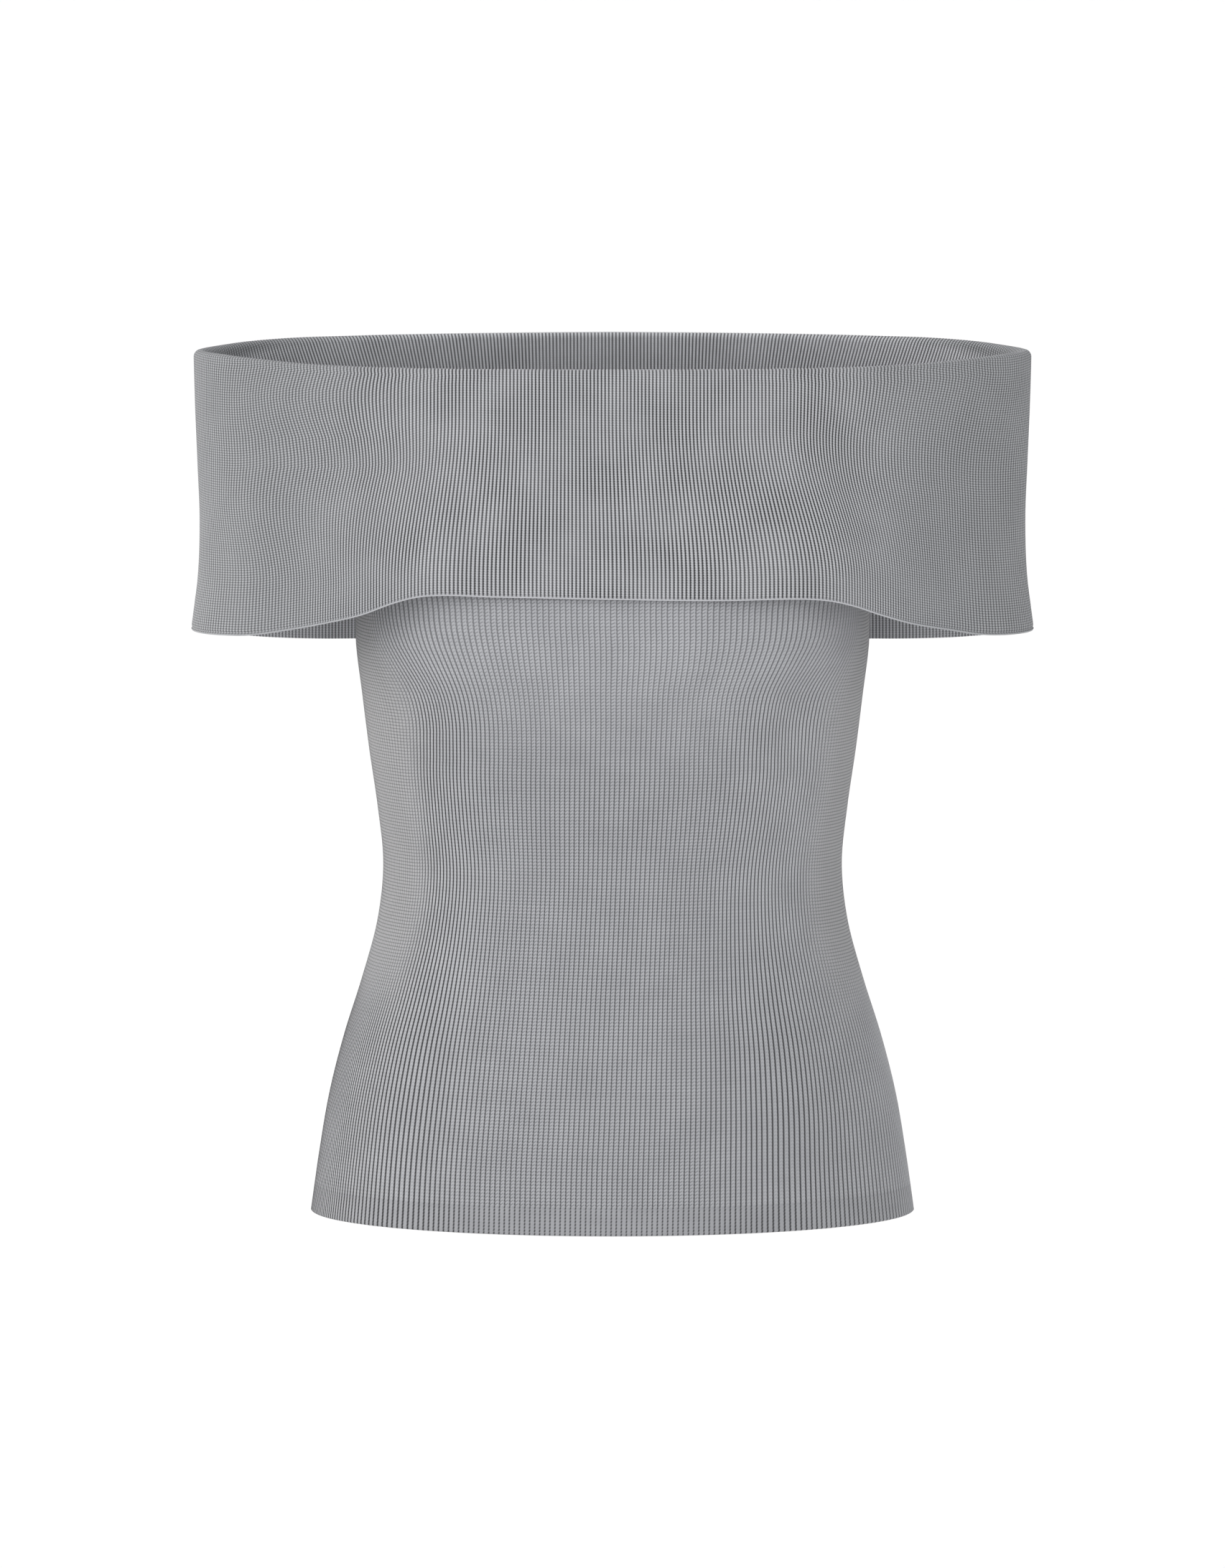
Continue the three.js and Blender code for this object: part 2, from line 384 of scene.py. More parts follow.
def turns_at(section: Section, share: Array) -> Array:
    """Turns that lie at given shares of the length round each section.

    Args:
        section: the sections, one to a row.
        share: from 0 to 1, rows by columns.

    Returns:
        The turns, rows by columns.
    """
    turn, length = lengths_round(section)
    row_start = 2.0 * np.arange(len(turn))[:, None]
    found = np.interp(
        (np.clip(share, 0, 1) + row_start).ravel(),
        (length / length[:, -1:] + row_start).ravel(),
        turn.ravel(),
    )
    return found.reshape(share.shape)


def armhole_shares(section: Section, armhole: Array) -> Array:
    """The share of the length round each section that its armhole takes at each side.

    Args:
        section: the sections, one to a row.
        armhole: the turn that each one's armhole takes.

    Returns:
        The shares, one to a section.
    """
    turn, length = lengths_round(section)
    found = [np.interp(*row) for row in zip(armhole, turn, length / length[:, -1:])]
    return np.array(found)


def smooth_step(value: Array, start: float, end: float) -> Array:
    """0 at start and 1 at end, with no kink at either."""
    t = np.clip((value - start) / (end - start), 0, 1)
    return t * t * (3 - 2 * t)


def rising_curve(knots: Array, values: Array, at: Array) -> Array:
    """Curves that never turn back, one to a row of values.

    Between two knots each is a cubic, and its slope at an inner knot is the harmonic mean of those on its
    two sides.

    Args:
        knots: where the values stand, rising.
        values: rows by knots, rising.
        at: where to read, one to a column.

    Returns:
        Rows by columns.
    """
    steps = np.diff(knots)
    slopes = np.diff(values, axis=1) / steps
    inner = 2 * slopes[:, :-1] * slopes[:, 1:] / (slopes[:, :-1] + slopes[:, 1:])
    pulls = np.hstack([slopes[:, :1], inner, slopes[:, -1:]])
    i = np.clip(np.searchsorted(knots, at, side="right") - 1, 0, len(steps) - 1)
    t = (at - knots[i]) / steps[i]
    blend = 3 * t**2 - 2 * t**3
    start_pull = pulls[:, i] * steps[i] * (t**3 - 2 * t**2 + t)
    end_pull = pulls[:, i + 1] * steps[i] * (t**3 - t**2)
    return values[:, i] * (1 - blend) + values[:, i + 1] * blend + start_pull + end_pull


@dataclass(frozen=True)
class RibProfile:
    """How the right side rises and falls across one rib, from one groove to the next.

    Attributes:
        shares: how far across the rib each column of points lies.
        heights: how much of the raise each has.
    """

    shares: tuple[float, ...]
    heights: tuple[float, ...]

    def columns(self, ribs: int) -> tuple[Array, Array]:
        """Repeats the rib across a piece, with a groove at both ends.

        Args:
            ribs: how many there are.

        Returns:
            Rib coordinate and height of every column.
        """
        at = (np.arange(ribs)[:, None] + np.array(self.shares)).ravel()
        height = np.tile(self.heights, ribs)
        return np.append(at, ribs), np.append(height, self.heights[0])


BODY_RIB = RibProfile((0.0, 0.14, 0.5, 0.66, 0.79, 0.92), (0.0, 0.72, 0.8, 0.58, 1.0, 0.94))
COLLAR_RIB = RibProfile((0.0, 0.17, 0.5, 0.83), (0.0, 0.86, 1.0, 0.86))


@dataclass(frozen=True)
class Wall:
    """A closed wall of cloth between two grids of places, with rows upwards and columns to the right.

    Attributes:
        right_side: places of the outer face, rows by columns by x, y and z.
        right_knit: rib and course of each of them.
        wrong_side: places of the face behind, and wrong_knit is its ribs and courses.
    """

    right_side: Array
    right_knit: Array
    wrong_side: Array
    wrong_knit: Array

    def mesh(self, name: str) -> bpy.types.Mesh:
        """Makes the mesh, in metres, with a UV map that holds rib and course.

        Args:
            name: of the mesh.

        Returns:
            The mesh.
        """
        rows, columns = self.right_side.shape[:2]
        right = np.arange(rows * columns).reshape(rows, columns)
        rows, columns = self.wrong_side.shape[:2]
        wrong = right.size + np.arange(rows * columns).reshape(rows, columns)
        rims = np.vstack([
            self.strip(wrong[0], right[0]),
            self.strip(right[-1], wrong[-1]),
            self.strip(right[:, 0], wrong[:, 0]),
            self.strip(wrong[:, -1], right[:, -1]),
        ])
        sides = np.vstack([self.cells(right), self.cells(wrong)[:, ::-1]])
        places = np.vstack([self.right_side.reshape(-1, 3), self.wrong_side.reshape(-1, 3)]) * MM
        knit = np.vstack([self.right_knit.reshape(-1, 2), self.wrong_knit.reshape(-1, 2)])
        mesh = bpy.data.meshes.new(name)
        mesh.from_pydata(places.tolist(), [], sides.tolist() + rims.tolist())
        corners = np.empty(len(mesh.loops), np.int32)
        mesh.loops.foreach_get("vertex_index", corners)
        knit_at = knit[corners]
        first_wrong = self.cells(right).size
        knit_at[first_wrong : sides.size, 1] += WRONG_COURSE
        mesh.uv_layers.new(name="knit").data.foreach_set("uv", knit_at.ravel())
        smooth = np.arange(len(mesh.polygons)) < len(sides)
        mesh.polygons.foreach_set("use_smooth", smooth)
        mesh.update()
        return mesh

    @staticmethod
    def cells(grid: Array) -> Array:
        """Four corners of each cell of a grid of vertex numbers, anticlockwise."""
        corners = (grid[:-1, :-1], grid[:-1, 1:], grid[1:, 1:], grid[1:, :-1])
        return np.stack(corners, axis=-1).reshape(-1, 4)

    @staticmethod
    def strip(onward: Array, backward: Array) -> Array:
        """Triangles between two edges with different numbers of points.

        Each step along either edge makes one triangle, with the point that the other edge has reached by the
        same share of its own steps.

        Args:
            onward: vertex numbers of the edge that the faces run along, and backward is the other edge.

        Returns:
            Three vertex numbers of each triangle.
        """
        steps_on = np.arange(1, len(onward)) / (len(onward) - 1)
        steps_back = np.arange(1, len(backward)) / (len(backward) - 1)
        reached_back = np.searchsorted(steps_back, steps_on, side="left")
        reached_on = np.searchsorted(steps_on, steps_back, side="right")
        along = np.stack([onward[:-1], onward[1:], backward[reached_back]], axis=-1)
        across = np.stack([onward[reached_on], backward[1:], backward[:-1]], axis=-1)
        return np.vstack([along, across])


def srgb(code: str) -> tuple[float, float, float, float]:
    """Turns an sRGB colour to linear.

    Args:
        code: the hex value, with its hash.

    Returns:
        Red, green, blue and alpha.
    """
    parts = np.array([int(code[i : i + 2], 16) for i in (1, 3, 5)]) / 255
    linear = np.where(parts <= 0.04045, parts / 12.92, ((parts + 0.055) / 1.055) ** 2.4)
    return (*(float(part) for part in linear), 1.0)


def add(tree: Tree, kind: str, inputs: dict[int | str, Any] | list[Any], **settings: Any) -> Node:
    """Adds a shader node.

    Args:
        tree: the nodes of a material or of the sky.
        kind: the node's type.
        inputs: in order, or by number or name: plain values, sockets, or nodes whose first output is linked.
        **settings: the node's own properties.

    Returns:
        The node.
    """
    node = tree.nodes.new(f"ShaderNode{kind}")
    for name, value in settings.items():
        setattr(node, name, value)
    keyed = inputs if isinstance(inputs, dict) else dict(enumerate(inputs))
    for key, value in keyed.items():
        if isinstance(value, Node):
            value = value.outputs[0]
        if isinstance(value, Socket):
            tree.links.new(value, node.inputs[key])
        else:
            node.inputs[key].default_value = value
    return node


# A MapRange node with this setting is a smooth step of its first input.
SMOOTH = {"interpolation_type": "SMOOTHSTEP"}


class Step(NamedTuple):
    """A smooth step, from low at start to high at end."""

    start: float
    end: float
    low: float = 0.0
    high: float = 1.0


@dataclass(frozen=True)
class RibKnit:
    """Fine rib knit of matt mid grey yarn, with painted shade in its grooves and in the gaps between
    stitches.

    Attributes:
        name: of the material.
        light, dark: the yarn's two mixed tones, and bare is its tone where the knit is stretched smooth.
        groove_shade: how much of its light a groove loses, and groove_width is its half width in ribs.
        groove_bead: the share of its shade that a groove keeps where it is lightest, at each whole course.
        stitch_shade: how much a gap between two stitches loses, and open_shade is the same where it is
            stretched.
        slant: how many courses a stitch climbs from one side of its wale to the other.
        mirrored: the two sides of a wale slant against each other, as V stitches.
        hem_courses: how many courses at the lower edge are knitted smooth.
        edge_gain: how much lighter those courses are painted, below 0 for painted shade; border_shade is how
            much their upper border loses.
    """

    # Courses from the border of the lower edge, over which its painted shade, its border and its smooth knit
    # end.
    EDGE_END = (-0.4, 0.1)
    BORDER_END = Step(0.1, 0.7)
    PLAIN_END = Step(-0.3, 0.3)
    # Shares of a groove's half width over which it fades, and how many ribs it wavers to each side.
    GROOVE_SIDE = (0.3, 1.7)
    WAVER = 0.03
    # Courses from a whole one over which a bead and a gap fade, and the share of a wale that the gap spans.
    BEAD_END = (0.05, 0.4)
    GAP_END = Step(0.06, 0.28, 1.0, 0.0)
    GAP_SPAN = Step(0.6, 0.78, 1.0, 0.0)
    # Where ribs crowd: the share left of a gap's shade, the share lost of the beads, and what a groove's
    # width gains.
    CROWDED_STITCH = 0.4
    CROWDED_BEAD = 0.8
    CROWDED_WIDTH = 0.12
    # The yarn's patches in metres, its streaks in ribs and courses, and how both mix its tones.
    PATCH_SIZE = 22 * MM
    STREAK_RIBS = 14.0
    STREAK_COURSES = 1.4
    STREAK_SHARE = 0.4
    TONE_MIX = Step(0.35, 1.05)
    BARE_SHARE = 0.7

    name: str
    light: str
    dark: str
    bare: str
    groove_shade: float
    groove_width: float
    groove_bead: float
    stitch_shade: float
    open_shade: float
    slant: float
    mirrored: bool
    hem_courses: float
    edge_gain: float
    border_shade: float

    def material(self) -> bpy.types.Material:
        """Builds the material on the piece's own map of ribs and courses.

        Returns:
            The material.
        """
        made = bpy.data.materials.new(self.name)
        made.use_nodes = True
        tree = made.node_tree
        tree.nodes.clear()
        knit = add(tree, "SeparateXYZ", {0: add(tree, "UVMap", {}, uv_map="knit")})
        rib, course = knit.outputs[0], knit.outputs[1]
        opened = self.opened(tree, rib, course)
        depth = self.depth(tree, rib, course, opened)
        # The grooves and the gaps between stitches are painted shade: what they lose is taken off the yarn's
        # colour.
        groove = add(tree, "Math", [self.grooves(tree, rib, course), depth], operation="MULTIPLY")
        gap = self.gaps(tree, rib, course, opened)
        crowded_shade = self.stitch_shade * self.CROWDED_STITCH
        crowding = [self.crowded(tree, rib), 0.0, 1.0, self.stitch_shade, crowded_shade]
        closed_shade = add(tree, "MapRange", crowding, **SMOOTH)
        gap_shade = add(tree, "MapRange", [opened, 0.0, 1.0, closed_shade, self.open_shade], **SMOOTH)
        lost = add(tree, "Math", [gap, gap_shade, groove], operation="MULTIPLY_ADD")
        kept = add(tree, "Math", [1.0, lost], operation="SUBTRACT")
        shade = add(tree, "Math", [kept, self.gain(tree, rib, course)], operation="MULTIPLY")
        yarn = self.yarn(tree, rib, course, opened)
        colour = add(tree, "VectorMath", {0: yarn.outputs["Result"], "Scale": shade}, operation="SCALE")
        relief = add(tree, "Math", [gap, -1.0], operation="MULTIPLY")
        bump = add(tree, "Bump", {"Height": relief, "Strength": 0.5, "Distance": 0.25 * MM})
        surface = add(tree, "BsdfPrincipled", {
            "Base Color": colour,
            "Roughness": 0.9,
            "Specular IOR Level": 0.2,
            "Sheen Weight": 0.12,
            "Sheen Roughness": 0.5,
            "Normal": bump,
        })
        add(tree, "OutputMaterial", {"Surface": surface})
        return made

    def opened(self, tree: Tree, rib: Socket, course: Socket) -> Any:
        """1 where the knit is stretched smooth, and 0 where its ribs stand close."""
        raise NotImplementedError

    def depth(self, tree: Tree, rib: Socket, course: Socket, opened: Any) -> Any:
        """The share of its light that a groove loses at each place."""
        raise NotImplementedError

    def crowded(self, tree: Tree, rib: Socket) -> Any:
        """1 where the ribs crowd, which makes the grooves wider and their beads and the gaps fainter."""
        return 0.0

    def gain(self, tree: Tree, rib: Socket, course: Socket) -> Node:
        """How much lighter the lower edge is painted than the rest, darker with painted shade where the gain
        is below 0, and darkest along its own upper border.

        Args:
            tree: the material's nodes.
            rib: rib coordinate, which is not used here, and course is the height in courses.

        Returns:
            The gain.
        """
        from_border = add(tree, "Math", [course, self.hem_courses], operation="SUBTRACT")
        edge = add(tree, "MapRange", [from_border, *self.EDGE_END, 1.0 + self.edge_gain, 1.0], **SMOOTH)
        off_border = add(tree, "Math", [from_border], operation="ABSOLUTE")
        clear = add(tree, "MapRange", [off_border, *self.BORDER_END], **SMOOTH)
        border = add(tree, "MapRange", [clear, 0.0, 1.0, 1.0 - self.border_shade, 1.0], **SMOOTH)
        return add(tree, "Math", [edge, border], operation="MULTIPLY")

    def grooves(self, tree: Tree, rib: Socket, course: Socket) -> Node:
        """1 along the grooves: the distance to the nearest whole rib, which wavers and is beaded by courses.

        Args:
            tree: the material's nodes.
            rib: rib coordinate, and course is the height in courses.

        Returns:
            The share of a groove's shade.
        """
        turned = add(tree, "Math", [course, 2 * math.pi], operation="MULTIPLY")
        wave = add(tree, "Math", [turned], operation="SINE")
        wavering = add(tree, "Math", [wave, self.WAVER, rib], operation="MULTIPLY_ADD")
        away = add(tree, "Math", [wavering, 0.5], operation="PINGPONG")
        crowded = self.crowded(tree, rib)
        gained = self.groove_width * self.CROWDED_WIDTH
        width = add(tree, "Math", [crowded, gained, self.groove_width], operation="MULTIPLY_ADD")
        start, end = (add(tree, "Math", [width, side], operation="MULTIPLY") for side in self.GROOVE_SIDE)
        line = add(tree, "MapRange", [away, start, end, 1.0, 0.0], **SMOOTH)
        beads_lost = (1 - self.groove_bead) * self.CROWDED_BEAD
        lightest = add(tree, "Math", [crowded, beads_lost, self.groove_bead], operation="MULTIPLY_ADD")
        from_course = add(tree, "Math", [course, 0.5], operation="PINGPONG")
        bead = add(tree, "MapRange", [from_course, *self.BEAD_END, lightest, 1.0], **SMOOTH)
        return add(tree, "Math", [line, bead], operation="MULTIPLY")

    def gaps(self, tree: Tree, rib: Socket, course: Socket, opened: Any) -> Node:
        """1 in the gaps between stitches: the distance to the nearest whole course, moved by the slant.

        Where the knit is stretched the gaps lie level and run from wale to wale. There are none in the smooth
        courses of the lower edge.

        Args:
            tree: the material's nodes.
            rib: rib coordinate, and course is the height in courses.
            opened: 1 where the knit is stretched smooth.

        Returns:
            The share of a gap's shade.
        """
        if self.mirrored:
            share = add(tree, "Math", [rib, 0.5], operation="PINGPONG")
        else:
            share = add(tree, "Math", [rib], operation="FRACT")
        slant = add(tree, "MapRange", [opened, 0.0, 1.0, -self.slant, 0.0], **SMOOTH)
        climbed = add(tree, "Math", [share, slant, course], operation="MULTIPLY_ADD")
        from_course = add(tree, "Math", [climbed, 0.5], operation="PINGPONG")
        gap = add(tree, "MapRange", [from_course, *self.GAP_END], **SMOOTH)
        if not self.mirrored:
            closed_span = add(tree, "MapRange", [share, *self.GAP_SPAN], **SMOOTH)
            span = add(tree, "Math", [closed_span, opened], operation="MAXIMUM")
            gap = add(tree, "Math", [gap, span], operation="MULTIPLY")
        from_border = add(tree, "Math", [course, self.hem_courses], operation="SUBTRACT")
        above_edge = add(tree, "MapRange", [from_border, *self.PLAIN_END], **SMOOTH)
        return add(tree, "Math", [gap, above_edge], operation="MULTIPLY")

    def yarn(self, tree: Tree, rib: Socket, course: Socket, opened: Any) -> Node:
        """The yarn's colour: two tones in soft patches and short streaks along the courses, or the bare one.

        Args:
            tree: the material's nodes.
            rib: rib coordinate, and course is the height in courses.
            opened: 1 where the knit is stretched smooth.

        Returns:
            The node that gives the colour as its result.
        """
        place = add(tree, "TexCoord", {}).outputs["Object"]
        patch = add(tree, "TexNoise", {"Vector": place, "Scale": 1 / self.PATCH_SIZE, "Detail": 3.0})
        across = add(tree, "Math", [rib, 1 / self.STREAK_RIBS], operation="MULTIPLY")
        up = add(tree, "Math", [course, 1 / self.STREAK_COURSES], operation="MULTIPLY")
        streak_at = add(tree, "CombineXYZ", [across, up])
        streak = add(tree, "TexNoise", {"Vector": streak_at, "Scale": 1.0, "Detail": 2.0})
        tone_at = add(tree, "Math", [streak, self.STREAK_SHARE, patch], operation="MULTIPLY_ADD")
        tone = add(tree, "MapRange", [tone_at, *self.TONE_MIX], **SMOOTH)
        tones = {"Factor": tone, "A": srgb(self.dark), "B": srgb(self.light)}
        closed = add(tree, "Mix", tones, data_type="RGBA").outputs["Result"]
        part_bare = add(tree, "Math", [opened, self.BARE_SHARE], operation="MULTIPLY")
        return add(tree, "Mix", {"Factor": part_bare, "A": closed, "B": srgb(self.bare)}, data_type="RGBA")


class BodyKnit(RibKnit):
    """The body's knit: smooth under the arms, with its deepest grooves where the ribs crowd."""

    # Ribs from the middle one, and for the smooth parts from the one that lies OPEN_PAST beyond it.
    CROWDED_SIDE = Step(12.0, 40.0)
    OPEN_SIDE = Step(42.0, 55.0)
    OPEN_PAST = 3.0
    # Courses from the hem, over the hips and up to the bust.
    OPEN_HIPS = Step(47.0, 93.0)
    # Painted highlight on the crowded wales, from the hips up to the bust.
    HIGHLIGHT_HIPS = Step(50.0, 95.0, 1.0, 1.08)
    HIGHLIGHT_BUST = (145.0, 170.0)
    DEPTH_MIDDLE = Step(130.0, 165.0, 0.82, 0.52)
    DEPTH_HIPS = Step(20.0, 80.0, 0.95, 1.0)
    DEPTH_BUST = (150.0, 182.0)
    # Shares of a groove's depth that are left beside the bust and where the knit is stretched smooth.
    BUST_SHARE = 0.62
    OPEN_SHARE = 0.15

    def opened(self, tree: Tree, rib: Socket, course: Socket) -> Any:
        """Rises from beside the bust to the side seam, and from the hips to the waist."""
        side = add(tree, "MapRange", [self.away(tree, rib, self.OPEN_PAST), *self.OPEN_SIDE], **SMOOTH)
        up = add(tree, "MapRange", [course, *self.OPEN_HIPS], **SMOOTH)
        return add(tree, "Math", [side, up], operation="MULTIPLY")

    def gain(self, tree: Tree, rib: Socket, course: Socket) -> Node:
        """Painted highlight: the wales are painted lighter where the ribs crowd at the waist, where they
        stand further out into the light.
        """
        hips = add(tree, "MapRange", [course, *self.HIGHLIGHT_HIPS], **SMOOTH)
        waist = add(tree, "MapRange", [course, *self.HIGHLIGHT_BUST, hips, 1.0], **SMOOTH)
        crest_highlight = add(tree, "MapRange", [self.crowded(tree, rib), 0.0, 1.0, 1.0, waist], **SMOOTH)
        return add(tree, "Math", [crest_highlight, super().gain(tree, rib, course)], operation="MULTIPLY")

    def crowded(self, tree: Tree, rib: Socket) -> Any:
        """Rises from near the middle to beside the bust."""
        return add(tree, "MapRange", [self.away(tree, rib), *self.CROWDED_SIDE], **SMOOTH)

    def depth(self, tree: Tree, rib: Socket, course: Socket, opened: Any) -> Any:
        """Less in the middle, over the bust and where the knit is stretched."""
        middle = add(tree, "MapRange", [course, *self.DEPTH_MIDDLE], **SMOOTH)
        hips = add(tree, "MapRange", [course, *self.DEPTH_HIPS], **SMOOTH)
        beside = add(tree, "MapRange", [course, *self.DEPTH_BUST, hips, self.BUST_SHARE], **SMOOTH)
        share = add(tree, "MapRange", [self.crowded(tree, rib), 0.0, 1.0, middle, beside], **SMOOTH)
        open_shade = self.groove_shade * self.OPEN_SHARE
        shade = add(tree, "MapRange", [opened, 0.0, 1.0, self.groove_shade, open_shade], **SMOOTH)
        return add(tree, "Math", [share, shade], operation="MULTIPLY")

    @staticmethod
    def away(tree: Tree, rib: Socket, past: float = 0.0) -> Node:
        """Ribs from the middle one, or from the one that lies past it."""
        off_middle = add(tree, "Math", [rib, BODY_RIBS / 2 + past], operation="SUBTRACT")
        return add(tree, "Math", [off_middle], operation="ABSOLUTE")


class CollarKnit(RibKnit):
    """The collar's knit: deep grooves over the bust, stretched open over the arms, shallower on the stand."""

    # Metres to the side over which the knit opens.
    OPEN_SIDE = Step(90 * MM, 190 * MM)
    # Courses by which the cloth has turned over the fold: past them lie the stand and the wrong side.
    TURNED = (128.0, 134.0)
    # Courses over which the selvedge ends.
    SELVEDGE_END = Step(0.5, 0.9)
    # The patches in which the grooves are uneven, in metres, and the noise that they take in.
    UNEVEN_SIZE = 30 * MM
    UNEVEN_NOISE = (0.3, 0.7)
    # Shares of a groove's depth that are left in a patch, over the arms and on the stand.
    UNEVEN_SHARE = 0.85
    OPEN_SHARE = 0.6
    STAND_SHARE = 0.85
    # How much lighter the stand and the wrong side are painted: painted light in the shade inside the collar.
    STAND_PAINTED_LIGHT = 1.36

    def opened(self, tree: Tree, rib: Socket, course: Socket) -> Any:
        """Rises towards the arms, on the right side of the fall."""
        place = add(tree, "SeparateXYZ", {0: add(tree, "TexCoord", {}).outputs["Object"]})
        aside = add(tree, "Math", [place.outputs["X"]], operation="ABSOLUTE")
        side = add(tree, "MapRange", [aside, *self.OPEN_SIDE], **SMOOTH)
        on_fall = add(tree, "MapRange", [course, *self.TURNED, 1.0, 0.0], **SMOOTH)
        return add(tree, "Math", [side, on_fall], operation="MULTIPLY")

    def depth(self, tree: Tree, rib: Socket, course: Socket, opened: Any) -> Any:
        """Less over the arms, none on the selvedge, and uneven in soft patches."""
        place = add(tree, "TexCoord", {}).outputs["Object"]
        patch = add(tree, "TexNoise", {"Vector": place, "Scale": 1 / self.UNEVEN_SIZE, "Detail": 1.0})
        least = self.groove_shade * self.UNEVEN_SHARE
        uneven = add(tree, "MapRange", [patch, *self.UNEVEN_NOISE, least, self.groove_shade], **SMOOTH)
        closed = add(tree, "MapRange", [opened, 0.0, 1.0, 1.0, self.OPEN_SHARE], **SMOOTH)
        above_selvedge = add(tree, "MapRange", [course, *self.SELVEDGE_END], **SMOOTH)
        turned = add(tree, "MapRange", [course, *self.TURNED, 1.0, self.STAND_SHARE], **SMOOTH)
        shade = add(tree, "Math", [uneven, closed], operation="MULTIPLY")
        by_course = add(tree, "Math", [above_selvedge, turned], operation="MULTIPLY")
        return add(tree, "Math", [shade, by_course], operation="MULTIPLY")

    def gain(self, tree: Tree, rib: Socket, course: Socket) -> Node:
        """Painted light on the stand and the wrong side, which lie in the shade inside the neck and under the
        fall.
        """
        inner = add(tree, "MapRange", [course, *self.TURNED, 1.0, self.STAND_PAINTED_LIGHT], **SMOOTH)
        return add(tree, "Math", [inner, super().gain(tree, rib, course)], operation="MULTIPLY")


BODY_KNIT = BodyKnit(
    name="grey_viscose_two_by_one_rib_knit",
    light="#aaabaf",
    dark="#a1a2a6",
    bare="#979798",
    groove_shade=0.9,
    groove_width=0.15,
    groove_bead=0.3,
    stitch_shade=0.45,
    open_shade=0.34,
    slant=0.9,
    mirrored=False,
    hem_courses=8.6,
    edge_gain=-0.15,
    border_shade=0.08,
)
COLLAR_KNIT = CollarKnit(
    name="grey_viscose_one_by_one_rib_knit",
    light="#bbbcc0",
    dark="#b2b3b7",
    bare="#9b9da0",
    groove_shade=0.94,
    groove_width=0.22,
    groove_bead=0.7,
    stitch_shade=0.22,
    open_shade=0.4,
    slant=-1.2,
    mirrored=True,
    hem_courses=0.8,
    edge_gain=0.0,
    border_shade=0.12,
)


def place_piece(mesh: bpy.types.Mesh, node: str, material: bpy.types.Material) -> bpy.types.Object:
    """Puts a finished mesh into the scene in place of its solid.

    Args:
        mesh: the piece, with its place in it.
        node: the frame's solid that it stands for.
        material: its finish.

    Returns:
        The piece.
    """
    mesh.materials.append(material)
    piece = bpy.data.objects.new(f"knit_{node}", mesh)
    bpy.context.scene.collection.objects.link(piece)
    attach(piece, "root")
    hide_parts(node)
    LOG.info("%s: %d points, %d faces", piece.name, len(mesh.vertices), len(mesh.polygons))
    return piece


